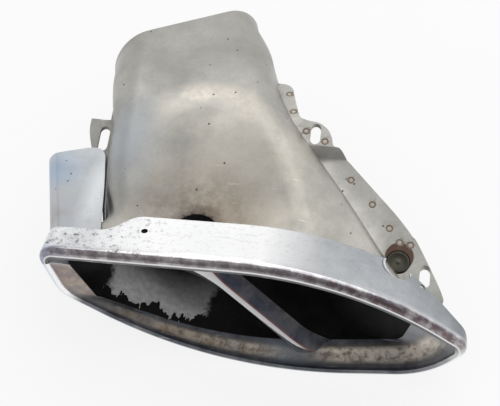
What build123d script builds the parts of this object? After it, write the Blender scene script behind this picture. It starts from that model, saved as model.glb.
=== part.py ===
from math import atan2, cos, radians, sin, tan
import os

from build123d import *

# Sheet metal and joints
sheet = 1.2
fit_gap = 0.3
weld_radius = 2.8
weld_depth = 0.35
slot_radius = 3.7
slot_reach = 3.4
left_slot_reach = 5.0

# Bezel: a rolled trim with a lens-shaped front, corner points seen square on
lens = [(-152.0, 91.5), (62.0, 99.0), (149.5, 42.5), (121.0, 11.6), (-26.6, -11.6), (-135.0, 51.0)]
lens_radii = [10.0, 240.0, 11.0, 60.0, 267.0, 30.0]
nose_radius = 5.0
lip_inset = 5.5
throat_inset = 7.0
throat_depth = 9.5
throat_slant = 0.05
skirt_depth_top = 40.0
skirt_depth_bottom = 14.0
skirt_turn_high = 74.0
skirt_turn_low = 44.0
notch_depth = 23.5
pin_hole_radius = 1.7
cutout_radius = 9.5
skirt_notch = [(-200, notch_depth), (-102, notch_depth), (-87, 41), (-87, 90), (-200, 90)]
cutout_at = (93.0, 36.0)
left_pin_at = (-78.0, 25.5, 95.0)
right_pin_at = (110.5, 29.0, 68.0)
right_pin_tilt = 32.0

# Window opening at the back of the throat, and the slanted divider across it
window = [(-123.0, 82.0), (58.0, 88.0), (113.0, 54.0), (101.0, 18.5), (-16.3, 7.5), (-109.0, 44.5)]
window_radii = [5.0, 180.0, 5.0, 8.0, 240.0, 3.0]
window_depth = 19.0
window_slant = 0.06
divider_angle = -47.0
divider_x = 1.5
divider_z = 44.5
divider_nose = 2.2
divider_front = 4.6
divider_back = 10.5
divider_flare = 16.0
divider_run = 40.0
divider_end = 80.0

# Shell: a slope behind the bezel, a shoulder, and a neck that leans to the left
slope_angle = 29.0
neck_rise = 7.0
slope_y = 40.0
slope_z = 92.5
shell_inset = 2.9
shell_front = 9.0
shell_grip = 7.0
shoulder_y = 125.0
lie_angle = 15.5
belly = 3.0
roof_hole_radius = 16.5
roof_hole_at = (-44.5, 33.0, 88.0)

# Shell sections from the bezel to the neck end: plan points of the seam, shares of the width
# taken by the flat roof and the flat floor, and corner radii from the roof round to the left seam
left_wall = [(-120.0, 42.0), (-120.5, 68.0), (-122.5, 100.0), (-129.0, 138.0), (-136.0, 170.0), (-139.0, 182.0)]
right_wall = [(104.0, 42.0), (58.0, 92.0), (19.0, 130.0), (-8.5, 188.0), (-25.0, 226.0), (-31.5, 242.0)]
roof_share = [(0.053, 0.67), (0.038, 0.75), (0.03, 0.82), (0.03, 0.92), (0.03, 0.95), (0.03, 0.96)]
floor_share = [(0.3, 0.95), (0.2, 0.9), (0.12, 0.9), (0.08, 0.92), (0.08, 0.92), (0.08, 0.92)]
floor_lift = [belly, belly, belly, 0.0, 0.0, 0.0]
section_radii = [
    [16, 55, 22, 40, 80, 30],
    [18, 36, 22, 40, 50, 30],
    [20, 28, 22, 32, 36, 30],
    [24, 24, 22, 28, 28, 30],
    [30, 24, 22, 28, 28, 30],
    [32, 24, 22, 28, 28, 30],
]

# Seam flange: height at the front, step up to the slot platform, and the level neck run
seam_y = 30.0
seam_z = 50.0
step_y = 118.0
step_up = 7.0
step_run = 3.0
neck_seam_y = 139.0
left_of_neck = -50.0
front_y = 14.0
back_y = 260.0

# Flange outlines, slots and spot welds in plan
right_flange = [(128, 30), (123.5, 40), (116, 52), (109, 63), (100, 74), (89, 85), (67, 104)]
right_flange += [(51, 118), (45, 121), (39.5, 121.5), (38.5, 127), (35, 133), (28, 137.4), (19, 138)]
right_flange += [(13, 140), (8, 156), (4, 172), (-1, 176), (-30, 176), (-30, 120), (60, 60), (80, 30)]
left_flange = [(-110, 132), (-127, 132.5), (-138.5, 131.8), (-141.8, 128.8), (-142, 117), (-137, 104), (-128, 84)]
left_flange += [(-118, 60), (-113, 28), (-90, 28), (-90, 132)]
bracket_plate = [(87.5, 63), (88.5, 67), (92, 69.5), (97, 70.5), (103, 70.5), (108, 63.5), (115, 52.5)]
bracket_plate += [(122, 41), (127, 31), (90, 31), (84, 55)]
platform_slot_at = (26.0, 129.0)
left_slot_at = (-129.5, 112.0)
corner_slot_at = (112.5, 46.0)
slope_welds = [(55, 105), (72, 90), (85.5, 75.5), (19, 130.5), (33.5, 124.5)]
neck_welds = [(2, 165), (7.5, 146)]
left_welds = [(-132, 125.5)]
bracket_welds = [(101, 65), (93.5, 66)]

# Plug weld and wing
plug_radius = 8.3
plug_height = 1.6
plug_at = (93.5, 54.5)
wing_sheet = 1.0
wing_front = 10.0
wing_back = 110.0
wing_flare_x = -27.0
wing_flare_z = 10.5
wing_low = 64.0
wing_plan = [(-111, 10), (-111, 25), (-118, 60), (-126, 97), (-130, 103), (-137, 103.5), (-160, 96)]
wing_plan += [(-170, 91), (-178, 82), (-190, 60), (-190, 10)]

# Reach of the tools that cut right through
far = 300.0


# Plane geometry helpers
def inset_polygon(points, depth):
    """Corner points of a clockwise polygon after moving each side inward by depth."""
    count = len(points)
    moved = []
    for i in range(count):
        ax, az = points[i - 1]
        bx, bz = points[i]
        cx, cz = points[(i + 1) % count]
        first = atan2(bz - az, bx - ax)
        turn = atan2(cz - bz, cx - bx) - first
        half = atan2(sin(turn), cos(turn)) / 2
        heading = first + half - radians(90)
        reach = depth / cos(half)
        moved.append((bx + reach * cos(heading), bz + reach * sin(heading)))
    return moved


def rounded_wire(points, radii, plane):
    """Closed wire on a plane: the polygon with each corner rounded."""
    count = len(points)
    arcs = []
    for i in range(count):
        here = Vector(*points[i])
        back = (Vector(*points[i - 1]) - here).normalized()
        ahead = (Vector(*points[(i + 1) % count]) - here).normalized()
        half = radians(back.get_angle(ahead)) / 2
        reach = radii[i] / tan(half)
        crown = here + (back + ahead).normalized() * (radii[i] / sin(half) - radii[i])
        arcs.append([plane.from_local_coords(p) for p in (here + back * reach, crown, here + ahead * reach)])
    edges = []
    for i in range(count):
        start, crown, end = arcs[i]
        edges.append(Edge.make_three_point_arc(start, crown, end))
        edges.append(Edge.make_line(end, arcs[(i + 1) % count][0]))
    return Wire(edges)


def upright(y, slant=0.0):
    """Upright plane across the part at depth y, set back to the right by slant."""
    run = Vector(1, slant, 0).normalized()
    return Plane(origin=(0, y, 0), x_dir=run, z_dir=run.cross(Vector(0, 0, 1)))


def lens_wire(depth, plane):
    radii = [max(r - depth, 3.0) for r in lens_radii]
    return rounded_wire(inset_polygon(lens, depth), radii, plane)


def window_wire(depth, plane):
    radii = [max(r - depth, 2.0) for r in window_radii]
    return rounded_wire(inset_polygon(window, depth), radii, plane)


def soft_radii(points):
    """Corner radii that turn a polygon into one flowing outline."""
    radii = []
    for i in range(len(points)):
        here = Vector(*points[i])
        back = Vector(*points[i - 1]) - here
        ahead = Vector(*points[(i + 1) % len(points)]) - here
        half = radians(back.get_angle(ahead)) / 2
        radii.append(0.45 * min(back.length, ahead.length) * tan(half))
    return radii


def plan_prism(points, low=-far, high=far):
    """Upright prism over a plan outline with flowing corners."""
    level = Plane(origin=(0, 0, low))
    return Solid.extrude(Face(rounded_wire(points, soft_radii(points), level)), Vector(0, 0, high - low))


def side_prism(points, left, right):
    """Prism across the part over a side outline in depth and height."""
    corners = [Vector(left, y, z) for y, z in points]
    return Solid.extrude(Face(Wire.make_polygon(corners)), Vector(right - left, 0, 0))


def rod(point, direction, radius, length):
    """Cylinder centred on a point along a direction."""
    return Solid.make_cylinder(radius, length, Plane(origin=point, z_dir=direction)).translate(
        Vector(*direction).normalized() * (-length / 2)
    )


# Bezel skin: lens prism with a rolled nose, hollowed to sheet thickness
skin_end = 60.0
outer = Solid.extrude(Face(lens_wire(0, upright(0))), Vector(0, skin_end, 0))
outer = outer.fillet(nose_radius, outer.edges().group_by(Axis.Y)[0])
hollow = Solid.extrude(Face(lens_wire(sheet, upright(sheet))), Vector(0, skin_end, 0))
hollow = hollow.fillet(nose_radius - sheet, hollow.edges().group_by(Axis.Y)[0])
skin = outer - hollow

# Rear edge of the skirt: deep over the top, short underneath, notched on the left
back_of_skirt = [
    (skirt_depth_top, 130.0),
    (skirt_depth_top, skirt_turn_high),
    (skirt_depth_bottom, skirt_turn_low),
    (skirt_depth_bottom, -40.0),
    (90.0, -40.0),
    (90.0, 130.0),
]
side = Plane(origin=(-far, 0, 0), x_dir=(0, 1, 0), z_dir=(1, 0, 0))
trim = Face(rounded_wire(back_of_skirt, [1.0, 16.0, 16.0, 1.0, 1.0, 1.0], side))
skin = skin - Solid.extrude(trim, Vector(2 * far, 0, 0))
skin = skin - plan_prism(skirt_notch, low=wing_low - 4)
skin = skin - Solid.make_cylinder(cutout_radius, far, Plane(origin=(*cutout_at, seam_z)))
skin = skin - rod(left_pin_at, (0, 0, 1), pin_hole_radius, 20)
right_pin_axis = (sin(radians(right_pin_tilt)), 0, cos(radians(right_pin_tilt)))
skin = skin - rod(right_pin_at, right_pin_axis, pin_hole_radius, 20)

# Throat walls from the lip back to the window opening
lip = upright(0)
throat = upright(throat_depth, throat_slant)
window_plane = upright(window_depth, window_slant)
void = Solid.make_loft(
    [lens_wire(lip_inset, lip), lens_wire(throat_inset, throat), window_wire(0, window_plane)]
)
funnel = Solid.make_loft(
    [
        lens_wire(lip_inset - sheet, lip),
        lens_wire(throat_inset - sheet, throat),
        window_wire(-sheet, window_plane),
    ]
)


# Divider: a wedge bar with a rounded nose and flared ends
def divider_wire(half, plane):
    wide = half + divider_flare
    strip = [(-divider_end, wide), (-divider_run, half), (divider_run, half), (divider_end, wide)]
    strip = strip + [(-s, -t) for s, t in strip]
    angle = radians(divider_angle)
    points = []
    for s, t in strip:
        x = divider_x + s * cos(angle) - t * sin(angle)
        z = divider_z + s * sin(angle) + t * cos(angle)
        points.append((x, z))
    return rounded_wire(points, [4.0, 60.0, 60.0, 4.0, 4.0, 60.0, 60.0, 4.0], plane)


def divider_plane(depth):
    return upright(depth, (throat_slant + window_slant) / 2)


bar = Solid.make_loft(
    [
        divider_wire(divider_nose, divider_plane(throat_depth - 0.9)),
        divider_wire(divider_front, divider_plane(throat_depth + 1.5)),
        divider_wire(divider_back, window_plane),
    ]
)
bar_hollow = Solid.make_loft(
    [
        divider_wire(divider_front - sheet, divider_plane(throat_depth + 1.8)),
        divider_wire(divider_back - sheet, window_plane),
    ]
)
bezel = skin + funnel - void
bezel = bezel + ((bar & funnel) - bar_hollow)


# Heights of the roof, the seam and the floor at a depth y
def roof(y):
    slope = slope_z + tan(radians(slope_angle)) * (y - slope_y)
    shoulder = slope_z + tan(radians(slope_angle)) * (shoulder_y - slope_y)
    return min(slope, shoulder + tan(radians(neck_rise)) * (y - shoulder_y))


def seam(y):
    return seam_z + step_up / 2 + tan(radians(slope_angle)) * (min(y, neck_seam_y) - seam_y)


def floor(y, lift):
    return tan(radians(lie_angle)) * (y - skirt_depth_bottom) + lift


def station(left, right, roof_span, floor_span, lift, radii, thick):
    """Shell section on the upright plane through a left and a right plan point."""
    start = Vector(left[0], left[1], 0)
    run = Vector(right[0], right[1], 0) - start
    plane = Plane(origin=start, x_dir=run, z_dir=run.cross(Vector(0, 0, 1)))

    def corner(share, height):
        return (share * run.length, height(left[1] + share * run.Y))

    def ground(y):
        return floor(y, lift)

    points = [
        corner(roof_span[0], roof),
        corner(roof_span[1], roof),
        corner(1.0, seam),
        corner(floor_span[1], ground),
        corner(floor_span[0], ground),
        corner(0.0, seam),
    ]
    return rounded_wire(inset_polygon(points, thick), [r - thick for r in radii], plane)


def shell_wires(thick):
    fit = shell_inset + thick
    wires = [lens_wire(fit, upright(shell_front)), lens_wire(fit + 0.6, upright(shell_front + shell_grip))]
    for section in zip(left_wall, right_wall, roof_share, floor_share, floor_lift, section_radii):
        wires.append(station(*section, thick))
    return wires


def open_tube(outer_wires, inner_wires):
    """Open-ended tube of sheet between an outer and an inner loft."""
    walls = Solid.make_loft(outer_wires).faces() + Solid.make_loft(inner_wires).faces()
    sides = [face for face in walls if face.geom_type != GeomType.PLANE]
    rims = [Face(outer_wires[end], [inner_wires[end]]) for end in (0, -1)]
    return Solid(Shell(sides + rims))


shell_body = Solid.make_loft(shell_wires(0))
shell = open_tube(shell_wires(0), shell_wires(sheet))

# Hole in the slope, half under the skirt
slope_up = Vector(0, -sin(radians(slope_angle)), cos(radians(slope_angle)))
shell = shell - rod(roof_hole_at, slope_up, roof_hole_radius, 40)

# Seam line in side view: right side with its step, left side all at slot height
slope = tan(radians(slope_angle))
step_z = seam_z + slope * (step_y - seam_y)
top_z = seam_z + step_up + slope * (neck_seam_y - seam_y)
back_z = top_z + tan(radians(neck_rise)) * (back_y - neck_seam_y)
right_seam = [
    (front_y, seam_z + slope * (front_y - seam_y)),
    (step_y, step_z),
    (step_y + step_run, step_z + step_up + step_run * slope),
    (neck_seam_y, top_z),
    (back_y, back_z),
]
left_seam = [
    (front_y, seam_z + step_up + slope * (front_y - seam_y)),
    (neck_seam_y, top_z),
    (back_y, back_z),
]


def above(line, left, right):
    """Everything over a seam line."""
    return side_prism(line + [(back_y, far), (front_y - 20, far), (front_y - 20, line[0][1])], left, right)


def band(line, low, high, left, right):
    """Strip of sheet that follows a seam line."""
    under = [(y, z + low) for y, z in line]
    over = [(y, z + high) for y, z in reversed(line)]
    return side_prism(under + over, left, right)


over_seam = above(right_seam, left_of_neck, far) + above(left_seam, -far, left_of_neck)
lift = sheet / cos(radians(slope_angle))


def slot_cutter(x, y, reach):
    """Upright slot, longer along the slope."""
    outline = SlotCenterToCenter(2 * reach, 2 * slot_radius, rotation=90)
    return extrude(Pos(x, y, 0) * outline, amount=far)


platform_slot = slot_cutter(*platform_slot_at, slot_reach)
left_slot = slot_cutter(*left_slot_at, left_slot_reach)
corner_slot = slot_cutter(*corner_slot_at, slot_reach)


def height_on(line, y):
    """Height of a seam line at depth y."""
    for (y0, z0), (y1, z1) in zip(line, line[1:]):
        if y0 <= y <= y1:
            return z0 + (z1 - z0) * (y - y0) / (y1 - y0)
    return line[-1][1]


def dimple(x, y, line, normal, up):
    """Shallow round spot weld mark in a flange face."""
    return rod((x, y, height_on(line, y) + up), normal, weld_radius, 2 * weld_depth)


# Seam flanges, two sheets thick, cut at the wall and parted along the seam into the two halves
right_strip = band(right_seam, -lift, lift, left_of_neck, far) & plan_prism(right_flange)
left_strip = band(left_seam, -lift, lift, -far, left_of_neck) & plan_prism(left_flange)
neck_up = Vector(0, -sin(radians(neck_rise)), cos(radians(neck_rise)))
right_strip = right_strip - platform_slot - corner_slot
left_strip = left_strip - left_slot
for x, y in slope_welds:
    right_strip = right_strip - dimple(x, y, right_seam, slope_up, lift)
for x, y in neck_welds:
    right_strip = right_strip - dimple(x, y, right_seam, neck_up, lift)
for x, y in left_welds:
    left_strip = left_strip - dimple(x, y, left_seam, slope_up, lift)
flanged = shell + (right_strip - shell_body) + (left_strip - shell_body)
upper_shell = flanged & over_seam
lower_shell = flanged - over_seam

# Bracket plate spot welded on the lower right end of the flange
bracket = band(right_seam, lift, 2 * lift, left_of_neck, far) & plan_prism(bracket_plate)
bracket = bracket - shell_body - corner_slot
for x, y in bracket_welds:
    bracket = bracket - dimple(x, y, right_seam, slope_up, 2 * lift)

# Plug weld in the bracket, seen through the round cutout of the skirt
plug_spot = Vector(*plug_at, height_on(right_seam, plug_at[1])) + slope_up * sheet
plug_seat = Plane(origin=plug_spot, z_dir=slope_up)
plug = Solid.make_cylinder(plug_radius, plug_height, plug_seat)
plug_room = Solid.make_cylinder(plug_radius + fit_gap, plug_height + 2 * sheet, plug_seat)
bracket = bracket - plug_room
upper_shell = upper_shell - plug_room

# Wing: a flared sheet lapped inside the left end of the skirt
wing_inset = sheet + fit_gap


def wing_wire(depth, y, flare):
    plane = Plane(origin=(wing_flare_x * flare, y, wing_flare_z * flare), x_dir=(1, 0, 0), z_dir=(0, -1, 0))
    return lens_wire(wing_inset + depth, plane)


def wing_body(depth):
    stages = [(wing_front, 0), (notch_depth + 2, 0), (wing_back, 1)]
    return Solid.make_loft([wing_wire(depth, y, flare) for y, flare in stages], ruled=True)


wing = wing_body(0) - wing_body(wing_sheet)
wing = wing & plan_prism(wing_plan, low=wing_low)

nodes = {
    "bezel": bezel,
    "upper_shell": upper_shell,
    "lower_shell": lower_shell,
    "corner_bracket": bracket,
    "plug_weld": plug,
    "side_wing": wing,
}

# Lay the part down on the neck and the lower lip, with the origin under the middle of the box
lie = Rotation(-lie_angle, 0, 0)
laid = {name: lie * shape for name, shape in nodes.items()}
box = Compound(list(laid.values())).bounding_box()
middle = box.center()
home = Pos(-middle.X, -middle.Y, -box.min.Z)
os.makedirs("parts", exist_ok=True)
for name, shape in laid.items():
    export_step(home * shape, "parts/" + name + ".step")
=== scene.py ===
import math

import bmesh
import bpy
from mathutils import Matrix, Vector


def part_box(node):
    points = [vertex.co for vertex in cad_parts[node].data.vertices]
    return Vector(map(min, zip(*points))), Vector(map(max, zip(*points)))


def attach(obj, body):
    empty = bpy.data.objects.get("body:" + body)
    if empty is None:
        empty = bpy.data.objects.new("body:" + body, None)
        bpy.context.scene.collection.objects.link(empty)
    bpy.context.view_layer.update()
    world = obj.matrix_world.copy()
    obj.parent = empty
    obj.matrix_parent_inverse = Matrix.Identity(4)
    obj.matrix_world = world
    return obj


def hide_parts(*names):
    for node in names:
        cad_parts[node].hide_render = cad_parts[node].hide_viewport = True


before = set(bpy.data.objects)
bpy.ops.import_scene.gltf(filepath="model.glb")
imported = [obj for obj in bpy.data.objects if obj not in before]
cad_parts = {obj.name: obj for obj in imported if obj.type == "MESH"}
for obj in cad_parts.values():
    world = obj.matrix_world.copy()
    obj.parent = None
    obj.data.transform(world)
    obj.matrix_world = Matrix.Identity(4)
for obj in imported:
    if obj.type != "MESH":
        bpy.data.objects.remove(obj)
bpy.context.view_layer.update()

MM = 0.001

# How the part lies: the upright bezel frame turned back about X and set on the floor
LIE = math.radians(15.5)
SLOPE = math.radians(29.0)

# Seam line of the shell: a slope behind the bezel, a step up and a flatter run along the neck
SEAM_START = 30.0
SEAM_HEIGHT = 50.0
SEAM_STEP = 7.0
NECK_SEAM = 139.0
NECK_RISE = math.radians(7.0)


def seam_height(y, up):
    """Height of the seam line at depth y, raised by up behind the step."""
    slope = math.tan(SLOPE) * (min(y, NECK_SEAM) - SEAM_START)
    neck = math.tan(NECK_RISE) * max(y - NECK_SEAM, 0.0)
    return SEAM_HEIGHT + up + slope + neck


PLUG_DEPTH = 54.5
PLUG_AT = (93.5, PLUG_DEPTH, seam_height(PLUG_DEPTH, 0.0))
PLUG_RISE = 2.0


def turned(p):
    """A direction of the upright bezel frame, in the row frame."""
    x, y, z = p
    return Vector((x, y * math.cos(LIE) + z * math.sin(LIE), z * math.cos(LIE) - y * math.sin(LIE)))


SLOPE_UP = Vector((0, -math.sin(SLOPE), math.cos(SLOPE)))
plug_low, plug_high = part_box("plug_weld")
plug_middle = (Vector(plug_low) + Vector(plug_high)) / 2
HOME = plug_middle - turned(Vector(PLUG_AT) + SLOPE_UP * PLUG_RISE) * MM


def laid(p):
    """A point of the upright bezel frame in millimetres, in the row frame in metres."""
    return turned(p) * MM + HOME


# Bezel outline and window outline, clockwise seen from the front
LENS = [(-149.0, 91.3), (62.0, 99.0), (147.8, 42.5), (121.0, 11.6), (-26.6, -11.6), (-135.0, 51.0)]
LENS_RADII = [10.0, 240.0, 11.0, 60.0, 267.0, 30.0]
WINDOW = [(-131.0, 82.0), (58.0, 88.0), (113.0, 54.0), (101.0, 18.5), (-16.3, 7.5), (-110.5, 43.6)]
WINDOW_RADII = [5.0, 180.0, 5.0, 8.0, 240.0, 3.0]
LENS_LEAST_RADIUS = 3.0
WINDOW_LEAST_RADIUS = 2.0
ARC_STEPS = [12, 44, 16, 22, 56, 18]
SIDE_STEPS = [40, 16, 14, 10, 14, 18]
SHEET = 1.2
NOSE = 5.0
THROAT_INSET = 5.9
THROAT_DEPTH = 9.5
THROAT_SLANT = 0.05
WINDOW_DEPTH = 17.0
WINDOW_SLANT = 0.08
SKIRT_TOP = 40.0
SKIRT_BOTTOM = 10.0
SKIRT_RISE = (44.0, 74.0)
SKIRT_SHARES = (1.0, 0.97, 0.85, 0.7, 0.55, 0.4, 0.25, 0.12, 0.0)
NOTCH_DEPTH = 23.5
NOTCH_SPAN = (-102.0, -87.0)
SOFT_STEPS = 9
SOFT_STEP = 1.6
NOSE_STEPS = 10
LIP_INSET = 0.6
LIP_DEPTH = 0.15
THROAT_STEPS = 20
TRIM_BANDS = 3

# Openings in the skirt: a round cut-out and two small holes, with the lengths of their rods in metres
CUTOUT_AT = (93.0, 36.0)
CUTOUT_RADIUS = 9.5
CUTOUT_HEIGHT = 80.0
CUTOUT_ROD = 0.07
LEFT_HOLE = (-78.0, 25.5, 95.0)
RIGHT_HOLE = (110.5, 29.0, 68.0)
RIGHT_HOLE_LEAN = math.radians(32)
SMALL_HOLE_RADIUS = 2.3
SMALL_HOLE_ROD = 0.02
SMALL_HOLE_SIDES = 24


def pulled_in(points, depth):
    """Corner points of a clockwise polygon after each side moves inward."""
    moved = []
    for i in range(len(points)):
        ax, az = points[i - 1]
        bx, bz = points[i]
        cx, cz = points[(i + 1) % len(points)]
        first = math.atan2(bz - az, bx - ax)
        turn = math.atan2(cz - bz, cx - bx) - first
        half = math.atan2(math.sin(turn), math.cos(turn)) / 2
        heading = first + half - math.pi / 2
        reach = depth / math.cos(half)
        moved.append((bx + reach * math.cos(heading), bz + reach * math.sin(heading)))
    return moved


def rounded(points, radii):
    """The polygon with rounded corners, as evenly stepped points."""
    count = len(points)
    bends = []
    for i in range(count):
        here = Vector(points[i])
        back = (Vector(points[i - 1]) - here).normalized()
        ahead = (Vector(points[(i + 1) % count]) - here).normalized()
        half = back.angle(ahead) / 2
        middle = here + (back + ahead).normalized() * (radii[i] / math.sin(half))
        reach = radii[i] / math.tan(half)
        start = here + back * reach - middle
        sweep = start.angle_signed(here + ahead * reach - middle)
        steps = ARC_STEPS[i]
        arc = []
        for k in range(steps + 1):
            turn = Matrix.Rotation(-sweep * k / steps, 2)
            arc.append(middle + turn @ start)
        bends.append(arc)
    outline = []
    for i in range(count):
        outline += bends[i]
        start = bends[i][-1]
        end = bends[(i + 1) % count][0]
        for k in range(1, SIDE_STEPS[i]):
            outline.append(start.lerp(end, k / SIDE_STEPS[i]))
    return outline


def lens_outline(inset):
    return rounded(pulled_in(LENS, inset), [max(r - inset, LENS_LEAST_RADIUS) for r in LENS_RADII])


def window_outline(inset):
    return rounded(pulled_in(WINDOW, inset), [max(r - inset, WINDOW_LEAST_RADIUS) for r in WINDOW_RADII])


def ramp(value, low, high):
    return min(max((value - low) / (high - low), 0.0), 1.0)


def skirt_end(x, z):
    """Depth of the skirt's rear edge: deep on top, short below, notched on the left."""
    total = 0.0
    for k in range(SOFT_STEPS):
        shift = (k - SOFT_STEPS // 2) * SOFT_STEP
        by_height = SKIRT_BOTTOM + (SKIRT_TOP - SKIRT_BOTTOM) * ramp(z + shift, *SKIRT_RISE)
        by_notch = NOTCH_DEPTH + (SKIRT_TOP + 1 - NOTCH_DEPTH) * ramp(x + shift, *NOTCH_SPAN)
        total += min(by_height, by_notch)
    return total / SOFT_STEPS


def select_none():
    if bpy.context.object and bpy.context.object.mode != "OBJECT":
        bpy.ops.object.mode_set(mode="OBJECT")
    bpy.ops.object.select_all(action="DESELECT")


def only(obj):
    select_none()
    obj.select_set(True)
    bpy.context.view_layer.objects.active = obj


def mesh_object(name, verts, faces):
    mesh = bpy.data.meshes.new(name)
    mesh.from_pydata([tuple(v) for v in verts], [], faces)
    obj = bpy.data.objects.new(name, mesh)
    bpy.context.collection.objects.link(obj)
    return obj


def apply_all(obj):
    only(obj)
    for modifier in list(obj.modifiers):
        bpy.ops.object.modifier_apply(modifier=modifier.name)


def smooth(obj, degrees=35):
    only(obj)
    bpy.ops.object.shade_smooth_by_angle(angle=math.radians(degrees))


def thicken(obj):
    """Sheet thickness, laid on behind the side that shows."""
    solid = obj.modifiers.new("sheet", "SOLIDIFY")
    solid.thickness = SHEET * MM
    solid.offset = -1
    apply_all(obj)


def face_outward(obj):
    only(obj)
    bpy.ops.object.mode_set(mode="EDIT")
    bpy.ops.mesh.select_all(action="SELECT")
    bpy.ops.mesh.normals_make_consistent(inside=False)
    bpy.ops.object.mode_set(mode="OBJECT")


def cut(obj, tool, operation="DIFFERENCE"):
    """Boolean with a tool that is deleted afterwards."""
    modifier = obj.modifiers.new("cut", "BOOLEAN")
    modifier.operation = operation
    modifier.solver = "EXACT"
    modifier.object = tool
    only(obj)
    bpy.ops.object.modifier_apply(modifier=modifier.name)
    bpy.data.objects.remove(tool)


def add_rod(place, direction, radius, length, sides=48):
    """Cylinder along a direction, in row frame metres."""
    select_none()
    bpy.ops.mesh.primitive_cylinder_add(vertices=sides, radius=radius, depth=length)
    obj = bpy.context.object
    turn = Vector((0, 0, 1)).rotation_difference(direction).to_matrix().to_4x4()
    obj.data.transform(Matrix.Translation(place) @ turn)
    return obj


def bow(s, first, second, third):
    """A bow from the first point to the third, drawn toward the second."""
    return first * (1 - s) ** 2 + second * (2 * s * (1 - s)) + third * s**2


# Bezel: rings from the rear edge of the skirt over the nose and lip into the throat
def bezel_rings():
    rings = []
    skirt = lens_outline(0.0)
    for share in SKIRT_SHARES:
        depth = [NOSE + (skirt_end(p.x, p.y) - NOSE) * share for p in skirt]
        rings.append((1.0 - share, [(p.x, y, p.y) for p, y in zip(skirt, depth)]))
    for k in range(1, NOSE_STEPS + 1):
        a = math.pi / 2 * k / NOSE_STEPS
        ring = lens_outline(NOSE * (1 - math.cos(a)))
        rings.append((1.0 + k / NOSE_STEPS, [(p.x, NOSE * (1 - math.sin(a)), p.y) for p in ring]))
    lip = lens_outline(NOSE + LIP_INSET)
    throat = lens_outline(THROAT_INSET)
    window = window_outline(0.0)
    first = [Vector((p.x, LIP_DEPTH, p.y)) for p in lip]
    second = [Vector((p.x, THROAT_DEPTH + THROAT_SLANT * p.x, p.y)) for p in throat]
    third = [Vector((p.x, WINDOW_DEPTH + WINDOW_SLANT * p.x, p.y)) for p in window]
    for k in range(THROAT_STEPS + 1):
        s = k / THROAT_STEPS
        rings.append((2.0 + s, [bow(s, p, q, r) for p, q, r in zip(first, second, third)]))
    return rings


def build_bezel():
    rings = bezel_rings()
    count = len(rings[0][1])
    verts = [laid(p) for _, ring in rings for p in ring]
    faces = []
    for r in range(len(rings) - 1):
        for i in range(count):
            j = (i + 1) % count
            faces.append((r * count + i, r * count + j, (r + 1) * count + j, (r + 1) * count + i))
    obj = mesh_object("Bezel", verts, faces)
    layer = obj.data.uv_layers.new(name="Trim")
    for polygon in obj.data.polygons:
        r, i = divmod(polygon.index, count)
        corners = [(r, i), (r, i + 1), (r + 1, i + 1), (r + 1, i)]
        for loop, (row, step) in zip(polygon.loop_indices, corners):
            layer.data[loop].uv = (step / count, rings[row][0] / TRIM_BANDS)
    thicken(obj)
    return obj


bezel = build_bezel()
upright = turned((0, 0, 1))
leaning = turned((math.sin(RIGHT_HOLE_LEAN), 0, math.cos(RIGHT_HOLE_LEAN)))
cut(bezel, add_rod(laid((*CUTOUT_AT, CUTOUT_HEIGHT)), upright, CUTOUT_RADIUS * MM, CUTOUT_ROD))
for hole, axis in ((LEFT_HOLE, upright), (RIGHT_HOLE, leaning)):
    cut(bezel, add_rod(laid(hole), axis, SMALL_HOLE_RADIUS * MM, SMALL_HOLE_ROD, SMALL_HOLE_SIDES))


# Divider: a wedge bar across the windows, its ends flared into the throat
DIVIDER_ANGLE = math.radians(-47.0)
DIVIDER_MIDDLE = (1.5, 44.5)
DIVIDER_REACH = 66.0
DIVIDER_STEPS = 72
DIVIDER_FOOT = 10.5
DIVIDER_SIDE = [(DIVIDER_FOOT, WINDOW_DEPTH), (7.6, 15.0), (5.6, 12.3), (4.2, 10.6), (2.8, 9.2), (1.4, 8.6)]
DIVIDER_RIDGE = (0.0, 8.4)
FLARE_START = 32.0
FLARE_SPAN = 40.0
FLARE_WIDTH = 16.0
FLARE_POWER = 1.7


def build_divider():
    along = Vector((math.cos(DIVIDER_ANGLE), math.sin(DIVIDER_ANGLE)))
    across = Vector((-math.sin(DIVIDER_ANGLE), math.cos(DIVIDER_ANGLE)))
    middle = Vector(DIVIDER_MIDDLE)
    slant = (THROAT_SLANT + WINDOW_SLANT) / 2
    profile = DIVIDER_SIDE + [DIVIDER_RIDGE] + [(-w, y) for w, y in reversed(DIVIDER_SIDE)]
    steps = DIVIDER_STEPS
    verts = []
    for k in range(steps + 1):
        s = -DIVIDER_REACH + 2 * DIVIDER_REACH * k / steps
        flare = FLARE_WIDTH * (max(abs(s) - FLARE_START, 0.0) / FLARE_SPAN) ** FLARE_POWER
        for w, y in profile:
            wide = w + math.copysign(flare, w) * (abs(w) / DIVIDER_FOOT) ** 0.5
            p = middle + along * s + across * wide
            verts.append(laid((p.x, y + slant * p.x, p.y)))
    width = len(profile)
    faces = []
    for k in range(steps):
        for i in range(width - 1):
            a = k * width + i
            faces.append((a, a + 1, a + width + 1, a + width))
    obj = mesh_object("Divider", verts, faces)
    layer = obj.data.uv_layers.new(name="Trim")
    for polygon in obj.data.polygons:
        k, i = divmod(polygon.index, width - 1)
        corners = [(k, i), (k, i + 1), (k + 1, i + 1), (k + 1, i)]
        for loop, (row, step) in zip(polygon.loop_indices, corners):
            layer.data[loop].uv = (row / steps, step / (width - 1))
    face_outward(obj)
    return obj


divider = build_divider()
toward = turned((0, -1, 0))
if sum(p.normal.dot(toward) * p.area for p in divider.data.polygons) < 0:
    divider.data.flip_normals()
thicken(divider)

# How far the ends of the divider run into the throat wall, and how far its back may reach behind the windows
WALL_BITE = 0.4
BACK_REACH = 4.0


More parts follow.
